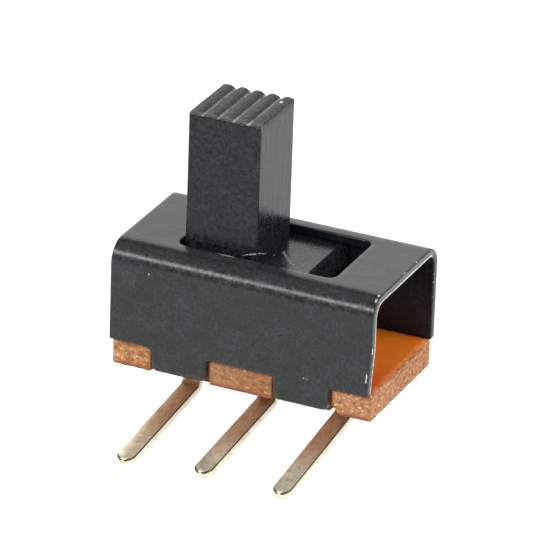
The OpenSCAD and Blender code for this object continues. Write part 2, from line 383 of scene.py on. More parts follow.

# %% [markdown]
# ## Tinned brass
#
# Tin plate is pale and only half bright, with faint streaks from its rolling and
# small matt spots. A painted reflection of the board browns the strip's upper face
# near the board, and `edge` paints a dark line of shade along the corner where that
# face ends.

# %% Terminal finish
tinned_strip, g, shader = new_material("tinned_strip")
rolled = g.group(streaks, Along=1.2, Across=16.0)["Lengthwise"]
patches, grains = g.group(mottle, Patch=0.5, Grain=0.2)
tin = g.tint(g.remap(patches, 0.3, 0.7), (0.60, 0.58, 0.43), (0.82, 0.79, 0.63))
tin = g.tint(g.remap(grains, 0.50, 0.85), tin, (0.36, 0.31, 0.17))
# Painted reflection: the board's brown underside, mirrored on the strip near the board.
board_brown = g.times(g.mask("board_reflection"), g.remap(rolled, 0.3, 0.7, 0.45, 1.0))
tin = g.tint(board_brown, tin, (0.36, 0.20, 0.105))
# Painted shade: a dark line along the corner where the upper face ends.
g.give(shader, {"Base Color": g.tint(g.mask("edge"), tin, (0.055, 0.040, 0.025)), "Metallic": 0.65,
                "Roughness": g.blend(rolled, 0.20, 0.42),
                "Normal": g.bump(0.5, 0.004, g.plus(rolled, patches))})
print("terminal finish:", len(g.tree.nodes), "nodes")

# %% [markdown]
# ## Black plastic
#
# The mould left fine upright lines on the knob, and the ridges' tops (`grip`) are a
# little paler and greener. Thin pale lines between the ridges are painted highlight, and
# the ridges' front ends are paler where they are rubbed. The torn flash at the knob's
# foot and on the flange is made of scrapes. So are the flange's pale patch, a painted
# reflection with some scuffing, a brown speck and a painted glint on the ridges.

# %% Slider finish
slider_plastic, g, shader = new_material("slider_plastic")
lines = g.group(streaks, Along=1.0, Across=9.0)["Upright"]
patches, grains = g.group(mottle, Patch=0.25, Grain=0.09)
grip = g.mask("grip")
plastic = g.tint(g.remap(patches, 0.35, 0.65), (0.008, 0.011, 0.013), (0.022, 0.022, 0.024))
plastic = g.tint(g.remap(grains, 0.32, 0.60), (0.001, 0.002, 0.003), plastic)
plastic = g.tint(g.times(grip, g.remap(grains, 0.38, 0.58, 0.25, 1.0)), plastic, (0.042, 0.048, 0.042))

top, front, right = FLANGE_TOP, -KNOB_W / 2, REST_X + KNOB_L / 2
# The flange's broad pale patch is a painted reflection; its speckled border is scuffing.
flange_sheen_and_scuff = [((0.26, 0.16, top), (0.62, -0.30, top), 0.22, 1.10),
                ((0.62, -0.30, top), (1.20, -0.90, top), 0.32, 0.95),
                ((1.20, -0.90, top), (1.75, -1.0, top), 0.20, 0.90),
                ((0.70, -0.45, top), (1.60, -0.60, top), 1.00, 0.74)]
foot_flash = [((-0.62, front, 4.68), (-0.32, front, 4.80), 0.05, 1.4),
              ((-0.32, front, 4.80), (right, front, 4.86), 0.07, 1.7),
              ((right, -1.30, 4.84), (right, -0.70, 4.58), 0.06, 1.3),
              ((right, -0.70, 4.58), (0.10, -0.25, top), 0.10, 1.1)]
scuff_and_sheen = g.group(wear, Mask=scraped(g, flange_sheen_and_scuff + foot_flash), Size=0.09, Amount=0.05)[0]
# The pale tint is flash and scuffing, and on the flange a painted reflection.
plastic = g.tint(g.times(scuff_and_sheen, 0.8), plastic, (0.30, 0.30, 0.29))
# Painted highlight: thin pale lines between the ridges; the front ends are rubbed.
pale = g.times(g.mask("valley_sheen_and_rub"), g.remap(patches, 0.35, 0.55, 0.35, 1.0))
plastic = g.tint(pale, plastic, (0.30, 0.31, 0.28))
top = KNOB_TOP
brown_speck = scraped(g, [((-2.64, 1.17, top), (-2.57, 1.22, top), 0.11, 1.2)])
plastic = g.tint(brown_speck, plastic, (0.070, 0.024, 0.010))
# Painted highlight: a white glint on the last ridge.
top = KNOB_TOP - 0.02
painted_glint = scraped(g, [((-0.34, 0.81, top), (-0.33, 0.83, top), 0.07, 3.0)])
plastic = g.tint(painted_glint, plastic, (0.85, 0.85, 0.82))

rough = g.plus(g.remap(grains, 0.3, 0.7, 0.14, 0.28), g.remap(lines, 0.35, 0.65, -0.05, 0.09))
g.give(shader, {
    "Base Color": plastic,
    "Roughness": g.blend(scuff_and_sheen, g.blend(grip, rough, 0.5), 0.5),
    "Specular IOR Level": 0.22,
    "Normal": g.bump(0.75, 0.006, g.plus(g.plus(lines, grains), g.times(scuff_and_sheen, 1.5)))})
print("slider finish:", len(g.tree.nodes), "nodes")

# %% [markdown]
# ## Spring bronze
#
# The clip is bright rolled bronze. It is seen only through the cover's open ends,
# so its CAD shape stays and only its finish is made here.

# %% Clip finish
spring_bronze, g, shader = new_material("spring_bronze")
rolled = g.group(streaks, Along=12.0, Across=1.5)["Upright"]
g.give(shader, {"Base Color": g.tint(g.remap(rolled, 0.3, 0.7), (0.58, 0.36, 0.16),
                                     (0.78, 0.55, 0.28)), "Metallic": 1.0,
                "Roughness": g.blend(rolled, 0.2, 0.4)})
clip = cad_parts["contact_clip"]
for material_slot in clip.material_slots:
    material_slot.material = spring_bronze
print("clip finish on", clip.name)

# %% [markdown]
# ## Outlines and fillings
#
# Most pieces start as a flat outline. `rounded_loop` turns corners, each with its own
# radius, into evenly spaced points. `fill_region` covers the area between loops with
# triangles on a grid, so the sheet can be bent. `band` joins two rings with faces.

# %% Outline tools


def rounded_loop(corners, step):
    """Points round a closed outline of (x, y, radius) corners, about a step apart."""
    arcs = []
    for i, (x, y, r) in enumerate(corners):
        here = np.array([x, y])
        before = np.array(corners[i - 1][:2]) - here
        after = np.array(corners[(i + 1) % len(corners)][:2]) - here
        before = before / np.linalg.norm(before)
        after = after / np.linalg.norm(after)
        half = math.acos(max(-1, min(1, float(before @ after)))) / 2
        reach = r / math.tan(half)
        centre = here + (before + after) / np.linalg.norm(before + after) * r / math.sin(half)
        turn = math.pi - 2 * half
        bits = max(3, int(math.ceil(r * turn / min(step, 0.04))))
        a, b = here + before * reach - centre, here + after * reach - centre
        arcs.append([centre + (math.sin((1 - t) * turn) * a + math.sin(t * turn) * b)
                     / math.sin(turn) for t in np.linspace(0, 1, bits + 1)])
    points = []
    for i, arc in enumerate(arcs):
        points.extend(arc)
        start, stop = arc[-1], arcs[(i + 1) % len(arcs)][0]
        pieces = int(np.linalg.norm(stop - start) // step)
        points.extend(start + (stop - start) * k / pieces for k in range(1, pieces))
    return np.array(points)


def left_normals(loop):
    """Unit normals that point to the left of a loop's direction."""
    along = np.roll(loop, -1, axis=0) - np.roll(loop, 1, axis=0)
    along /= np.linalg.norm(along, axis=1)[:, None]
    return np.stack([-along[:, 1], along[:, 0]], axis=1)


def inside(points, loops):
    """Which points lie inside the outline and outside its holes."""
    result = np.zeros(len(points), bool)
    x, y = points[:, 0], points[:, 1]
    for loop in loops:
        for (ax, ay), (bx, by) in zip(loop, np.roll(loop, -1, axis=0)):
            if ay != by:
                crossing = (ay > y) != (by > y)
                result ^= crossing & (x < (bx - ax) * (y - ay) / (by - ay) + ax)
    return result


def fill_region(loops, xs, ys, clear):
    """Triangles over a region: the loops' own points come first, then the grid's."""
    rim = np.concatenate(loops)
    grid = np.array([(x, y) for x in xs for y in ys])
    grid = grid[inside(grid, loops)]
    near = np.full(len(grid), np.inf)
    for point in rim:
        near = np.minimum(near, np.hypot(*(grid - point).T))
    points = np.concatenate([rim, grid[near > clear]])
    edges, first = [], 0
    for loop in loops:
        edges += [(first + i, first + (i + 1) % len(loop)) for i in range(len(loop))]
        first += len(loop)
    made = delaunay_2d_cdt([Vector(p) for p in points], edges, [], 0, 1e-9)
    source = [origins[0] if origins else 0 for origins in made[3]]
    faces = np.array([[source[i] for i in face] for face in made[2]])
    faces = faces[inside(points[faces].mean(axis=1), loops)]
    a, b, c = (points[faces[:, k]] for k in range(3))
    area = (b - a)[:, 0] * (c - a)[:, 1] - (b - a)[:, 1] * (c - a)[:, 0]
    faces[area < 0] = faces[area < 0][:, ::-1]
    return points, faces


def band(above, below):
    """Faces between two closed rings of point numbers."""
    return [(above[i - 1], below[i - 1], below[i], above[i]) for i in range(len(above))]


def ripple(points, size, seed=0.0):
    """Smooth noise from -1 to 1 at each point, with features about a size across."""
    return np.array([noise.noise(Vector(p) / size + Vector((seed, 2 * seed, -seed)))
                     for p in points])


def ramp(value, low, high):
    """A smooth step from 0 at low to 1 at high."""
    t = np.clip((value - low) / (high - low), 0, 1)
    return t * t * (3 - 2 * t)


def set_masks(mesh, masks):
    """Writes masks on a mesh's points, where the finishes read them."""
    for name, values in masks.items():
        layer = mesh.attributes.new(name, "FLOAT", "POINT")
        layer.data.foreach_set("value", np.asarray(values, np.float32))


def make_piece(name, points, faces, material, masks=None):
    """A mesh object from points in millimetres, its faces turned outwards."""
    mesh = bpy.data.meshes.new(name)
    mesh.from_pydata(in_frame(points).tolist(), [], [tuple(map(int, f)) for f in faces])
    form = bmesh.new()
    form.from_mesh(mesh)
    bmesh.ops.recalc_face_normals(form, faces=form.faces)
    form.to_mesh(mesh)
    form.free()
    set_masks(mesh, masks or {})
    mesh.shade_smooth()
    mesh.materials.append(material)
    piece = bpy.data.objects.new(name, mesh)
    bpy.context.scene.collection.objects.link(piece)
    return piece


def modify(piece, kind, **settings):
    """Adds a modifier with its settings."""
    modifier = piece.modifiers.new(kind.lower(), kind)
    for name, value in settings.items():
        setattr(modifier, name, value)


def weigh_normals(piece):
    """Keeps flat faces flat beside their small rounded edges."""
    modify(piece, "WEIGHTED_NORMAL", weight=100, keep_sharp=True)


print("outline tools ready")

# %% [markdown]
# ## The folded cover
#
# A press cuts this cover flat, then folds it. The script does the same. The blank is
# an outline with four tabs and a slot, in the flat coordinates u, along the switch,
# and v, round the fold. Its two faces share one filling, and a rounded rim joins
# them. Then every point is wrapped round the folds. That gives real fillets, real
# edges and a sheet of even thickness everywhere.

# %% Cover blank
TAB_X, TAB_W, TAB_FOOT = 2.36, 2.07, 0.11
TAB_LEAN = math.radians(6)
SLOT_L, SLOT_W, SLOT_R = 6.04, 3.44, 0.35
WALL_LAP = 0.02
BLANK_STEP = 0.09
half_flat = COVER_W / 2 - FOLD_R
fold_length = (FOLD_R - SHEET_T / 2) * math.pi / 2
wall_edge = half_flat + fold_length + COVER_H - FOLD_R - BOARD_T + WALL_LAP
tab_end = wall_edge - WALL_LAP + BOARD_T - TAB_FOOT


def tab_corners(middle, side, start_fillet, end_fillet):
    """The four corners of a tab, in the outline's own order along one wall."""
    left, right = middle - side * TAB_W / 2, middle + side * TAB_W / 2
    root, foot = -side * wall_edge, -side * tab_end
    return [(left, root, start_fillet), (left, foot, 0.22), (right, foot, 0.20),
            (right, root, end_fillet)]


end = COVER_L / 2
blank = [(-end, -wall_edge, 0.07), *tab_corners(-TAB_X, 1, 0.34, 0.15),
         *tab_corners(TAB_X, 1, 0.14, 0.16), (end, -wall_edge, 0.09),
         (end, wall_edge, 0.07), *tab_corners(TAB_X, -1, 0.2, 0.16),
         *tab_corners(-TAB_X, -1, 0.16, 0.2), (-end, wall_edge, 0.07)]
outline = rounded_loop(blank, BLANK_STEP)
sx, sy = SLOT_L / 2, SLOT_W / 2
slot_loop = rounded_loop([(-sx, -sy, SLOT_R), (-sx, sy, SLOT_R), (sx, sy, SLOT_R),
                          (sx, -sy, SLOT_R)], BLANK_STEP)
print("blank:", len(outline), "points round it,", len(slot_loop), "round the slot")

# %% [markdown]
# The wrap also crimps the tabs inwards below the board's top. The rim runs from the
# outer face to the inner one through eight rings, each at a depth into the sheet's
# edge and a height over its middle. They wander a little, as a torn edge does.

# %% Fold the blank
CRIMP_START, CRIMP_LENGTH = 0.06, 0.12
RIM_OUT, RIM_IN = 0.05, 0.04
RING_BARE = (0.28, 0.1, 0.05, 0.0, 0.35, 0.9, 1.0, 1.0)


def wrap(flat, height):
    """Flat (u, v) points at a height over the sheet's middle, folded into place."""
    u, v = flat[:, 0], flat[:, 1]
    side, reach = np.sign(v), np.abs(v)
    neutral = FOLD_R - SHEET_T / 2
    angle = np.clip((reach - half_flat) / neutral, 0, math.pi / 2)
    y = np.minimum(reach, half_flat) + (neutral + height) * np.sin(angle)
    z = COVER_H - FOLD_R + (neutral + height) * np.cos(angle)
    down = np.maximum(reach - half_flat - fold_length, 0)
    below = np.maximum(reach - wall_edge + CRIMP_START, 0)
    lean = TAB_LEAN * np.minimum(below / CRIMP_LENGTH, 1)
    y = y - below * np.sin(lean * np.minimum(1, below / CRIMP_LENGTH + 0.5))
    z = z - down + height * np.sin(lean)
    return np.stack([u, side * y, z], axis=1)


half_t = SHEET_T / 2
quarter = np.linspace(0, math.pi / 2, 4)
rim = [(RIM_OUT * (1 - math.sin(a)), half_t - RIM_OUT * (1 - math.cos(a))) for a in quarter]
rim += [(0.0, 0.03), (0.0, -0.05)]
rim += [(RIM_IN * (1 - math.cos(a)), -half_t + RIM_IN * (1 - math.sin(a))) for a in quarter]

rows_v = np.concatenate([np.arange(-half_flat, half_flat + 0.01, 0.15),
                         np.arange(half_flat + 0.08, half_flat + fold_length, 0.08),
                         np.arange(half_flat + fold_length, tab_end, 0.14)])
rows_v = np.unique(np.round(np.concatenate([rows_v, -rows_v]), 4))
loops = [outline, slot_loop]
edge_points = np.concatenate(loops)
edge_normals = np.concatenate([left_normals(loop) for loop in loops])
inset = [loop + left_normals(loop) * RIM_OUT for loop in loops]
outer, sheet_faces = fill_region(inset, np.arange(-5.0, 5.01, 0.14), rows_v, 0.06)
rim_count, n = len(edge_points), len(outer)
inner = outer.copy()
inner[:rim_count] = edge_points + edge_normals * RIM_IN

edge_u, edge_v = np.abs(edge_points[:, 0]), edge_points[:, 1]
on_open_end = (edge_u > end - 0.02) & (edge_u < end + 0.1)
lip = 0.12 + on_open_end * (0.35 + 1.0 * (edge_v < half_flat + 0.3))
# The slot's rim, the back wall's rim and the inner face get `cut` below 0: painted shade.
shaded = (np.arange(rim_count) >= len(outline)) | (edge_v > half_flat + 0.5)
points = [wrap(outer, half_t), wrap(inner, -half_t)]
cut, bare = [np.zeros(n), np.full(n, -0.8)], [np.zeros(2 * n)]
rings = [np.arange(rim_count)]
for (depth, height), lip_share in zip(rim[1:-1], RING_BARE):
    ring = edge_points + edge_normals * depth
    tear = 0.012 * np.abs(ripple(np.c_[ring, np.full(rim_count, height)], 0.13, 3.0))
    points.append(wrap(ring + edge_normals * tear[:, None], height))
    cut.append((1.0 if abs(height) < 0.12 else 0.4) * np.where(shaded, -1.0, 1.0))
    bare.append(lip * lip_share)
    rings.append(np.arange(rim_count) + 2 * n + (len(rings) - 1) * rim_count)
rings.append(np.arange(rim_count) + n)
faces = [*sheet_faces, *(n + sheet_faces[:, ::-1])]
for loop_ring in (np.arange(len(outline)), np.arange(len(outline), rim_count)):
    for above, below in zip(rings, rings[1:]):
        faces += band(above[loop_ring], below[loop_ring])
cover_points = np.concatenate(points)
print("cover:", len(cover_points), "points,", len(faces), "faces")

# %% [markdown]
# Nothing pressed is quite flat. The sheet gets a slow wave of a few microns, always
# inwards, and the lower right corner of the front wall is set back a little.

# %% Waves in the cover
WAVE, FINE_WAVE, INWARDS, SET_BACK = 0.006, 0.003, 0.009, 0.10
x, y, z = cover_points.T
wave = WAVE * ripple(cover_points, 1.3, 5.0) + FINE_WAVE * ripple(cover_points, 0.45, 9.0)
on_top = ramp(z, COVER_H - FOLD_R, COVER_H)
cover_points[:, 2] -= np.abs(wave) * on_top
cover_points[:, 1] += (wave - INWARDS) * np.sign(y) * (1 - on_top) * (z > BOARD_T)
lower_right = ramp(x, 4.3, 5.05) * (1 - ramp(z, 1.1, 2.9)) * (z > 0.9) * (y < -2)
cover_points[:, 0] -= SET_BACK * lower_right
cover_piece = make_piece("folded_cover", cover_points, faces, cover_steel,
                         {"cut": np.concatenate(cut), "bare": np.concatenate(bare)})
weigh_normals(cover_piece)
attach(cover_piece, "housing")
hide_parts("cover")
print("largest wave in mm:", round(float(np.abs(wave).max()), 4))

# %% [markdown]
# ## The laminate board
#
# The board's punched edge is a torn wall. It is built as a stack of rows: each is the
# same outline, pushed in by noise that is squeezed along Z like the paper's layers.
# At an inner corner that push would cross itself, so a limit is worked out there and
# spread along the outline. The top and bottom rows are filled, with three holes.

# %% Board outline
BOARD_X, BOARD_Y = 5.025, 2.6
NOTCH_HALF = TAB_W / 2 + 0.1
NOTCH_DRAWN = 0.13
PITCH, STRIP_W, STRIP_T = 3.0, 0.7, 0.3
HOLE_X, HOLE_Y = 0.37, 0.17
corners = []
for side in (1, -1):
    corners.append((-side * BOARD_X, -side * BOARD_Y, 0.1))
    for middle in (-side * TAB_X, side * TAB_X):
        for edge_x in (middle - side * NOTCH_HALF, middle + side * NOTCH_HALF):
            lips = [(edge_x, -side * BOARD_Y, 0.06), (edge_x, -side * (BOARD_Y - NOTCH_DRAWN), 0.04)]
            corners += lips if edge_x * side < middle * side else lips[::-1]
    corners.append((side * BOARD_X, -side * BOARD_Y, 0.1))
board_loop = rounded_loop(corners, 0.05)
board_normals = left_normals(board_loop)
between_ends = np.abs(board_loop[:, 0]) < BOARD_X - 0.2
notch_share = np.clip((BOARD_Y - np.abs(board_loop[:, 1])) / NOTCH_DRAWN, 0, 1) * between_ends

steps = np.roll(board_loop, -1, axis=0) - board_loop
lengths = np.linalg.norm(steps, axis=1)
ahead = steps / lengths[:, None]
back = np.roll(ahead, 1, axis=0)
turns = back[:, 0] * ahead[:, 1] - back[:, 1] * ahead[:, 0]
tear_limit = np.where(turns > 0.05, 0.6 * lengths / np.maximum(turns, 0.05), 1.0)
for k in range(60):
    for way, gaps in ((1, lengths), (-1, np.roll(lengths, 1))):
        tear_limit = np.minimum(tear_limit, np.roll(tear_limit, -way) + 0.4 * gaps)
hole_loops = [rounded_loop([(x0 - HOLE_X, -HOLE_Y, 0.03), (x0 - HOLE_X, HOLE_Y, 0.03),
                            (x0 + HOLE_X, HOLE_Y, 0.03), (x0 + HOLE_X, -HOLE_Y, 0.03)], 0.1)
              for x0 in (-PITCH, 0.0, PITCH)]
print("board outline:", len(board_loop), "points")

# %% [markdown]
# The notches lean with the tabs. The edge is rounder at its upper and lower rims,
# where the punch pulls the paper, and the corner beside one notch is broken off.

# %% Board rows and faces
NOTCH_GAP = 0.085
CHIP_W, CHIP_H, CHIP_D = 0.28, 0.38, 0.6
size = len(board_loop)
heights = np.concatenate([[0, 0.015, 0.045], np.linspace(0.09, 0.95, 19), [0.99, 1.02, 1.04, BOARD_T]])
points = []
for height in heights:
    row = board_loop.copy()
    lean = NOTCH_GAP + (BOARD_T - height) * math.tan(TAB_LEAN)
    row[:, 1] = np.where(np.abs(row[:, 0]) < BOARD_X - 0.2,
                         np.sign(row[:, 1]) * (BOARD_Y - notch_share * lean), row[:, 1])
    at = np.c_[row, np.full(size, height)]
    layers = at * [1, 1, 4.5]
    torn = 0.028 * np.abs(ripple(layers, 0.42, 1.0)) + 0.022 * np.abs(ripple(layers, 0.13, 2.0))
    upper_rim = 1 - ramp(BOARD_T - height, 0, 0.13 + 0.05 * ripple(at, 0.5, 7.0))
    lower_rim = 1 - ramp(height, 0, 0.08 + 0.03 * ripple(at, 0.4, 8.0))
    short_side = np.abs(row[:, 0]) > BOARD_X - 0.05
    torn += ((0.035 + 0.02 * short_side) + 0.03 * ripple(at, 0.3, 4.0)) * upper_rim ** 2
    torn += (0.05 + 0.03 * ripple(at, 0.25, 6.0)) * lower_rim ** 2
    torn = np.minimum(np.maximum(torn, 0.002) * (1 - 0.7 * notch_share), tear_limit)
    row += board_normals * torn[:, None]
    past_notch = row[:, 0] - (TAB_X + NOTCH_HALF)
    bite = np.clip((1 - height / CHIP_H - np.maximum(past_notch, 0) / CHIP_W) * 4, 0, 1)
    bite *= (row[:, 1] < -BOARD_Y / 2) & (row[:, 0] > TAB_X + TAB_W / 2 - 0.02)
    bite *= past_notch < CHIP_W + 0.1
    row[:, 1] = row[:, 1] + bite * CHIP_D * (0.85 + 0.15 * ripple(at, 0.2, 11.0))
    points += [(*point, height) for point in row]

faces = []
for first in range(0, size * (len(heights) - 1), size):
    faces += band(np.arange(first, first + size), np.arange(first + size, first + 2 * size))
row_x, row_z = np.array(points).T[[0, 2]]
near_rim = 1 - ramp(np.minimum(row_z, BOARD_T - row_z), 0.03, 0.24)
at_end = np.abs(row_x) > BOARD_X - 0.12
masks = {"cut": [np.where((row_z == 0) | (row_z == BOARD_T), 0.6, 1.0)],
         "notch": [np.tile(notch_share, len(heights))],
         "brink": [np.where(row_z > BOARD_T / 2, 1.0, 1.1) * near_rim
                   * np.where(at_end, 0.25, 1.0)], "under": [np.zeros(len(row_z))]}
grid_x, grid_y = np.arange(-4.9, 4.91, 0.2), np.arange(-2.45, 2.46, 0.2)
hole_first = []
for first, height in ((0, 0.0), (size * (len(heights) - 1), BOARD_T)):
    rim_loop = np.array(points)[first:first + size, :2]
    flat, triangles = fill_region([rim_loop, *hole_loops], grid_x, grid_y, 0.09)
    hole_first.append(len(points))
    for face in triangles:
        faces.append([first + i if i < size else len(points) + i - size for i in face])
    points += [(*point, height) for point in flat[size:]]
    for name, layer in masks.items():
        value = 1.0 if name == "under" and height == 0 else 0.0
        layer.append(np.full(len(flat) - size, value))
offset = 0
for loop in hole_loops:
    ring = np.arange(offset, offset + len(loop))
    faces += band(hole_first[0] + ring, hole_first[1] + ring)
    offset += len(loop)
board_piece = make_piece("laminate_board", points, faces, laminate,
                         {name: np.concatenate(layer) for name, layer in masks.items()})
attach(board_piece, "housing")
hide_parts("base_board")
print("board:", len(points), "points,", len(faces), "faces")

# %% [markdown]
# ## The terminals
#
# Each terminal is one strip led along one path: down from its blade, through the
# board, past two ears, round a bend and forwards to a round tip. At each station a
# rounded rectangle is placed square to the path, and neighbours are joined.

# %% Strip tools
CORNER_BITS = 4
AROUND = 4 * CORNER_BITS


def strip_section(width, thickness, radius):
    """Points of a rounded rectangle: across the strip, then through it."""
    radius = min(radius, 0.49 * width, 0.49 * thickness)
    ring = []
    for sx, sy, turn in ((1, 1, 0), (-1, 1, 90), (-1, -1, 180), (1, -1, 270)):
        for a in np.linspace(0, 90, CORNER_BITS):
            t = math.radians(a + turn)
            ring.append((sx * (width / 2 - radius) + radius * math.cos(t),
                         sy * (thickness / 2 - radius) + radius * math.sin(t)))
    return ring


def lead_strip(stations, x0):
    """Joins sections placed at stations of (y, z, normal y, normal z, w, t, r)."""
    points, faces = [], []
    for y, z, ny, nz, *section in stations:
        points += [(x0 + across, y + ny * through, z + nz * through)
                   for across, through in strip_section(*section)]
    for k in range(AROUND, len(points), AROUND):
        faces += band(range(k - AROUND, k), range(k, k + AROUND))
    faces.append(tuple(range(AROUND)))
    faces.append(tuple(range(len(points) - AROUND, len(points)))[::-1])
    return np.array(points), faces


print("one section has", len(strip_section(1, 1, 0.1)), "points")

# %% Terminals
BLADE_W, BLADE_H, BEND_R, RUN_L = 0.95, 1.4, 0.25, 5.4
BLADE_R, BLADE_TAPER, STRIP_R = 0.2, 0.06, 0.04
EAR_X, EAR_H = 0.12, 0.2
TIP = STRIP_W / 2
UPPER_FACE, FACE_END, TIP_FACE_END = range(8, 15), (13, 14), (9, 10)


def terminal_stations(drop, tilt):
    """The strip's path from the blade's top to the tip of its run."""
    top, low = BOARD_T + BLADE_H, BEND_R - drop
    upright = []
    for d in (0.0, 0.01, 0.03, 0.06, 0.1, 0.15, BLADE_R):
        inset = BLADE_R - math.sqrt(max(BLADE_R ** 2 - (BLADE_R - d) ** 2, 0))
        thick = STRIP_T * (0.55 + 0.45 * min(1, d / BLADE_TAPER))
        upright.append((top - d, BLADE_W - 2 * inset - 0.02 * (d == 0), thick))
    upright += [(z, BLADE_W, STRIP_T) for z in np.linspace(top - 0.3, BOARD_T + 0.03, 6)]
    upright += [(BOARD_T + 0.002, BLADE_W - 0.03, STRIP_T), (BOARD_T, STRIP_W, STRIP_T),
                (0.0, STRIP_W, STRIP_T)]
    upright += [(z, STRIP_W + 2 * EAR_X * reach, STRIP_T) for z, reach in (
        (-0.004, 1.0), (-EAR_H * 0.6, 0.95), (-EAR_H, 0.5), (-EAR_H - 0.05, 0))]
    stations = [(0, z, 1, 0, width, thick, STRIP_R) for z, width, thick in upright]
    stations += [(0, z, 1, 0, STRIP_W, STRIP_T, 0.05)
                 for z in np.linspace(-EAR_H - 0.1, low, 5)]
    centre_y, radius = -STRIP_T / 2 - BEND_R, BEND_R + STRIP_T / 2
    for a in np.linspace(0, math.pi / 2 - tilt, 12)[1:]:
        ny, nz = math.cos(a), -math.sin(a)
        y0, z0 = centre_y + radius * ny, low + radius * nz
        stations.append((y0, z0, ny, nz, STRIP_W, STRIP_T, 0.05))
    round_tip = RUN_L - TIP * (1 - np.sin(np.linspace(-0.4, math.pi / 2, 14)))
    for d in [*np.linspace(0.3, RUN_L - TIP - 0.2, 14), *round_tip]:
        left = RUN_L - d
        width = 2 * math.sqrt(max(TIP ** 2 - max(TIP - left, 0) ** 2, 0.004 ** 2))
        thick = STRIP_T * (1 - 0.30 * (1 - min(1, left / 0.10)) ** 2)
        rounding = 0.05 + 0.06 * (1 - min(1, left / 0.4))
        stations.append((y0 + nz * d, z0 - ny * d, ny, nz, width, thick, rounding))
    return stations


for name, x0, drop, tilt in (("left", -PITCH, 1.39, 5.6), ("middle", 0.0, 1.24, 4.6),
                             ("right", PITCH, 1.08, 7.4)):
    points, faces = lead_strip(terminal_stations(drop, math.radians(tilt)), x0)
    around, y = np.arange(len(points)) % AROUND, points[:, 1]
    # Painted reflection of the board, mostly on the upper face.
    board_reflection = ramp(y, -4.6, -2.4) * np.where(np.isin(around, UPPER_FACE), 1.0, 0.25)
    near_tip = y < y.min() + 0.3
    # The dark line on those corners is painted shade.
    edge = np.isin(around, FACE_END) | (near_tip & np.isin(around, TIP_FACE_END))
    piece = make_piece(name + "_terminal", points, faces, tinned_strip,
                       {"board_reflection": board_reflection, "edge": 1.0 * (edge & (y < -0.3))})
    weigh_normals(piece)
    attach(piece, "housing")
    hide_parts("terminal_" + name)
    print(piece.name, len(points), "points")

# %% [markdown]
# ## The slider's knob
#
# The ridges follow a rule: equal round backs, a fixed distance apart. So the knob is
# a plain block with a fine grid on its top, and Geometry Nodes set each point of that
# grid on the nearest ridge. The mask `lift` is 1 on the top and 0 on the sides.

# %% Knob block
CORNER = 0.07
GRID_X, GRID_Y = 110, 44


def spread(length, fine):
    """Positions across a face, crowded at its two edges for the rounding."""
    edge = CORNER * (1 - np.cos(np.linspace(0, math.pi / 2, 5)))
    middle = np.linspace(CORNER, length - CORNER, fine)[1:-1]
    return np.concatenate([edge, middle, length - edge[::-1]])


def corner_pull(px, py):
    """Pulls the block's upright corners in to a small radius."""
    vx, vy = CORNER - min(px, KNOB_L - px), CORNER - min(py, KNOB_W - py)
    if vx <= 0 or vy <= 0:
        return px, py
    scale = max(vx, vy) / math.hypot(vx, vy)
    qx, qy = CORNER - vx * scale, CORNER - vy * scale
    return (qx if px < KNOB_L / 2 else KNOB_L - qx, qy if py < KNOB_W / 2 else KNOB_W - qy)


across, deep = spread(KNOB_L, GRID_X), spread(KNOB_W, GRID_Y)
nx, ny = len(across), len(deep)
points = []
for px in across:
    for py in deep:
        near = min(px, KNOB_L - px, py, KNOB_W - py, CORNER)
        drop = CORNER - math.sqrt(CORNER ** 2 - (CORNER - near) ** 2)
        points.append((*corner_pull(px, py), -drop))
faces = [(i * ny + j, (i + 1) * ny + j, (i + 1) * ny + j + 1, i * ny + j + 1)
         for i in range(nx - 1) for j in range(ny - 1)]
upper = [*range(0, nx * ny, ny), *range((nx - 1) * ny + 1, nx * ny),
         *range((nx - 1) * ny - 1, ny - 1, -ny), *range(ny - 1, 0, -1)]
for z in (-0.36, -0.6, -1.2, -2.2, -3.4, -4.6, FLANGE_TOP - 0.5 - KNOB_TOP):
    below = range(len(points), len(points) + len(upper))
    points += [(*points[index][:2], z) for index in upper]
    faces += band(upper, below)
    upper = below
faces.append(tuple(upper[::-1]))
lift = np.arange(len(points)) < nx * ny
knob = make_piece("knob_block", np.array(points) + [REST_X - KNOB_L / 2, -KNOB_W / 2, KNOB_TOP],
                  faces, slider_plastic, {"lift": lift})
print("knob block:", len(points), "points")

# %% [markdown]
# The tree reads each point's X, finds the nearest ridge, and sets the point on that
# ridge's circle. Past the first and the last ridge the knob has a plain edge.

# %% Ridge tree
RIDGE_R, RIDGE_PITCH, RIDGE_FIRST, RIDGES = 0.34, 0.58, 0.22, 5
ridge_tree = bpy.data.node_groups.new("grip_ridges", "GeometryNodeTree")
ridge_inputs = {"First ridge": REST_X - KNOB_L / 2 + RIDGE_FIRST, "Pitch": RIDGE_PITCH,
                "Radius": RIDGE_R, "Last index": RIDGES - 1.0, "Edge drop": 0.02,
                "Finish": slider_plastic}
for label, kind, way in (("Geometry", "Geometry", "INPUT"), ("Geometry", "Geometry", "OUTPUT"),
                         ("Finish", "Material", "INPUT"),
                         *((label, "Float", "INPUT") for label in list(ridge_inputs)[:-1])):
    ridge_tree.interface.new_socket(label, in_out=way, socket_type="NodeSocket" + kind)
g = Graph(ridge_tree)
given = g.add("NodeGroupInput").outputs
first_x, pitch, radius, edge_drop = (g.times(given[label], MM) for label in (
    "First ridge", "Pitch", "Radius", "Edge drop"))
position = g.add("GeometryNodeInputPosition").outputs[0]
here_x = g.add("ShaderNodeSeparateXYZ", {0: position}).outputs[0]
index = g.calc("ROUND", g.calc("DIVIDE", g.minus(here_x, first_x), pitch))
index = g.calc("MINIMUM", g.calc("MAXIMUM", index, 0.0), given["Last index"])
offset = g.minus(here_x, g.plus(first_x, g.times(index, pitch)))
square = g.minus(g.times(radius, radius), g.times(offset, offset))
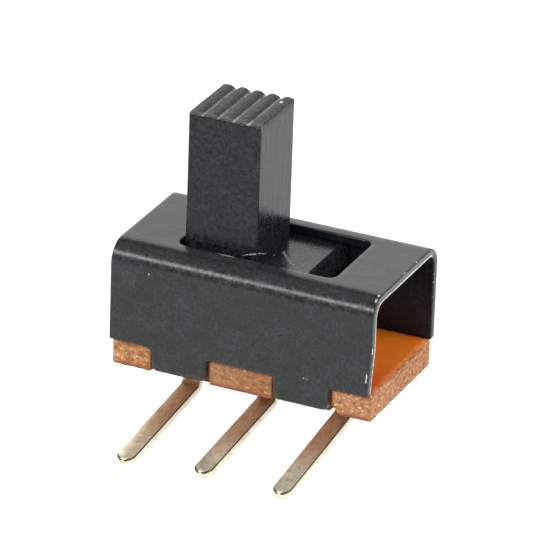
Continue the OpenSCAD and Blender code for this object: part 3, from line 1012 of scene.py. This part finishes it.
drop = g.minus(g.calc("SQRT", g.calc("MAXIMUM", square, 0.0)), radius)
half_row = g.times(g.times(given["Last index"], pitch), 0.5)
from_middle = g.calc("ABSOLUTE", g.minus(here_x, g.plus(first_x, half_row)))
plain = g.calc("MAXIMUM", drop, g.times(edge_drop, -1.0))
past_last = g.calc("GREATER_THAN", from_middle, half_row)
drop = g.add("GeometryNodeSwitch", {"Switch": past_last, "False": drop, "True": plain},
             input_type="FLOAT").outputs[0]
lift = g.add("GeometryNodeInputNamedAttribute", {"Name": "lift"}, data_type="FLOAT").outputs[0]
shift = g.add("ShaderNodeCombineXYZ", {2: g.times(drop, lift)}).outputs[0]
moved = g.add("GeometryNodeSetPosition", {"Geometry": given["Geometry"], "Offset": shift})
real = g.add("GeometryNodeRealizeInstances", {0: moved.outputs[0]})
finished = g.add("GeometryNodeSetMaterial", {"Geometry": real.outputs[0], "Material": given["Finish"]})
g.add("NodeGroupOutput", {0: finished.outputs[0]})
ridge_modifier = knob.modifiers.new("ridges", "NODES")
ridge_modifier.node_group = ridge_tree
for item in ridge_tree.interface.items_tree:
    if item.in_out == "INPUT" and item.name in ridge_inputs:
        ridge_modifier[item.identifier] = ridge_inputs[item.name]
print("ridge tree:", len(ridge_tree.nodes), "nodes")

# %% [markdown]
# The ridges' front ends are filled and rounded down, their backs are uneven by a
# hundredth of a millimetre, and the knob's sides are not quite flat.

# %% Wear on the knob
FILLED, DEPTH_FILLED, ROUNDED = 0.92, 0.8, 0.05
ROUGH_BACK, ROUGH_SIDE = 0.011, 0.004


def settle(piece):
    """Replaces a piece's mesh by the result of its modifiers, and removes them."""
    graph = bpy.context.evaluated_depsgraph_get()
    result = bpy.data.meshes.new_from_object(piece.evaluated_get(graph))
    piece.modifiers.clear()
    piece.data = result


def points_mm(piece):
    """A piece's points in millimetres about the seat."""
    return (np.array([v.co for v in piece.data.vertices]) - SEAT) / MM


settle(knob)
mm = points_mm(knob)
behind_front = mm[:, 1] + KNOB_W / 2
top_part = mm[:, 2] > KNOB_TOP - 0.30
fill = FILLED * (1 - ramp(behind_front, 0.03, DEPTH_FILLED)) * top_part
mm[:, 2] += fill * np.maximum(KNOB_TOP - 0.01 - CORNER - mm[:, 2], 0)
mm[:, 2] -= ROUNDED * (1 - ramp(behind_front, 0.0, 0.2)) ** 2 * top_part
mm[:, 2] += ROUGH_BACK * ripple(mm, 0.13, 2.0) * top_part
mm[:, 0] += ROUGH_SIDE * ripple(mm * [1, 1, 0.3], 0.3, 12.0)
mm[:, 2] = np.minimum(mm[:, 2], KNOB_TOP)
knob.data.vertices.foreach_set("co", in_frame(mm).astype(np.float32).ravel())
print("knob's top in mm over the seat:", round(mm[:, 2].max(), 3))

# %% [markdown]
# ## The rest of the slider
#
# The knob, its flange and the carrier under it are one moulding. Each is a closed
# solid, and exact booleans join them, so that no face is left inside, and cut the
# channel that holds the clip.

# %% Slider body
FLANGE_T, FLANGE_L, FLANGE_W, CHAMFER = 1.0, 6.44, 4.85, 0.5
CARRIER_L, CARRIER_W, CARRIER_LOW, LAP = 5.0, 2.38, 1.1, 0.5
CHANNEL_W, WEB_Z, WEB_L, CLIP_T = 1.18, 2.65, 1.8, 0.15


def prism(name, profile, length, bevel):
    """A YZ outline drawn out along X about the slider's middle, with rounded edges."""
    count = len(profile)
    points = [(REST_X + x, y, z) for x in (-length / 2, length / 2) for y, z in profile]
    faces = [tuple(range(count)), tuple(range(count, 2 * count))]
    faces += band(range(count), range(count, 2 * count))
    piece = make_piece(name, points, faces, slider_plastic)
    if bevel:
        modify(piece, "BEVEL", width=bevel * MM, segments=3, limit_method="ANGLE")
        settle(piece)
    return piece


def box_profile(width, low, high):
    """A plain rectangle, as an outline for a prism."""
    return [(-width / 2, low), (width / 2, low), (width / 2, high), (-width / 2, high)]


def combine(piece, other, operation):
    """Joins or cuts one solid with another, and removes the other."""
    modify(piece, "BOOLEAN", object=other, operation=operation, solver="EXACT")
    settle(piece)
    bpy.data.objects.remove(other)


low, w = FLANGE_TOP - FLANGE_T, FLANGE_W / 2
slider = prism("ridged_slider", [
    (-w, low), (w, low), (w, FLANGE_TOP - CHAMFER), (w - CHAMFER, FLANGE_TOP),
    (CHAMFER - w, FLANGE_TOP), (-w, FLANGE_TOP - CHAMFER)], FLANGE_L, 0.05)
carrier = prism("carrier", box_profile(CARRIER_W, CARRIER_LOW, low + LAP), CARRIER_L, 0.04)
combine(slider, carrier, "UNION")
for name, length, top in (("channel", 2 * CARRIER_L, WEB_Z), ("recess", WEB_L, WEB_Z + CLIP_T)):
    cutter = prism(name, box_profile(CHANNEL_W, 0.5, top), length, 0)
    combine(slider, cutter, "DIFFERENCE")
combine(slider, knob, "UNION")

mm = points_mm(slider)
steps = (mm[:, 0] - REST_X + KNOB_L / 2 - RIDGE_FIRST) / RIDGE_PITCH
between = ramp(np.abs(steps - np.round(steps)), 0.38, 0.46)
between *= (steps > -0.1) & (steps < RIDGES - 0.9)
behind_front = mm[:, 1] + KNOB_W / 2
# Thin lines between the ridges take painted highlight; the front ends are rubbed.
sheen_and_rub = np.maximum(between, 0.3 * (1 - ramp(behind_front, 0.02, 0.30)))
valley_sheen_and_rub = sheen_and_rub * (mm[:, 2] > KNOB_TOP - 0.26) * (behind_front > 0.06)
grip = (mm[:, 2] > KNOB_TOP - 0.21) & (behind_front > 0.04)
set_masks(slider.data, {"grip": grip, "valley_sheen_and_rub": valley_sheen_and_rub})
slider.data.shade_smooth()
slider.data.set_sharp_from_angle(angle=math.radians(38))
weigh_normals(slider)
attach(slider, "slide")
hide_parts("slider")
print("slider:", len(slider.data.polygons), "faces")

# %% [markdown]
# ## Floor and light
#
# The floor glows a little, as a light table does, so that it stays even and lifts
# the undersides. Black parts are drawn by what they reflect: a panel behind greys the
# cover's top, one at the right greys the knob's side, a narrow strip in front draws
# the line along the cover's fold, and a weak one overhead opens the shadows.

# %% Floor
floor_paint, g, shader = new_material("pale_floor")
tint = g.group(mottle, Patch=40.0, Grain=5.0)["Patches"]
g.give(shader, {"Base Color": g.tint(tint, (0.42, 0.42, 0.42), (0.46, 0.46, 0.46)),
                "Roughness": 0.9, "Specular IOR Level": 0.1,
                "Emission Color": (1, 1, 1, 1), "Emission Strength": 0.86})
HALF_FLOOR, FLOOR_GAP = 600, 0.05
floor_z = (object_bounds()[0].z - SEAT[2]) / MM - FLOOR_GAP
floor = make_piece("floor", [(x * HALF_FLOOR, y * HALF_FLOOR, floor_z) for x, y in (
    (-1, -1), (1, -1), (1, 1), (-1, 1))], [(0, 1, 2, 3)], floor_paint)
print("floor lies", round(-floor_z, 2), "mm under the board")

# %% Lights


def panel(name, azimuth, elevation, distance, width, height, radiance):
    """A soft rectangular light at an angle round the switch, aimed at it."""
    a, e = math.radians(azimuth), math.radians(elevation)
    away = Vector((math.sin(a) * math.cos(e), -math.cos(a) * math.cos(e), math.sin(e)))
    light = bpy.data.lights.new(name, "AREA")
    light.shape = "RECTANGLE"
    light.size, light.size_y = width, height
    light.energy = radiance * width * height * math.pi
    lamp = bpy.data.objects.new(name, light)
    lamp.matrix_world = (Matrix.Translation(Vector(in_frame((0, 0, 3))) + away * distance)
                         @ away.to_track_quat("Z", "Y").to_matrix().to_4x4())
    bpy.context.scene.collection.objects.link(lamp)


panel("back_panel", 204, 24, 0.45, 0.50, 0.30, 1.7)
panel("right_panel", 95, 26, 0.40, 0.50, 0.42, 3.2)
panel("front_strip", -27, 35, 0.45, 0.50, 0.085, 19.0)
panel("overhead", 0, 82, 0.45, 0.40, 0.40, 0.6)
world = bpy.data.worlds.new("studio")
world.use_nodes = True
world.node_tree.nodes["Background"].inputs[0].default_value = (1, 1, 1, 1)
world.node_tree.nodes["Background"].inputs[1].default_value = 0.14
bpy.context.scene.world = world
bpy.context.scene.view_settings.view_transform = "Standard"
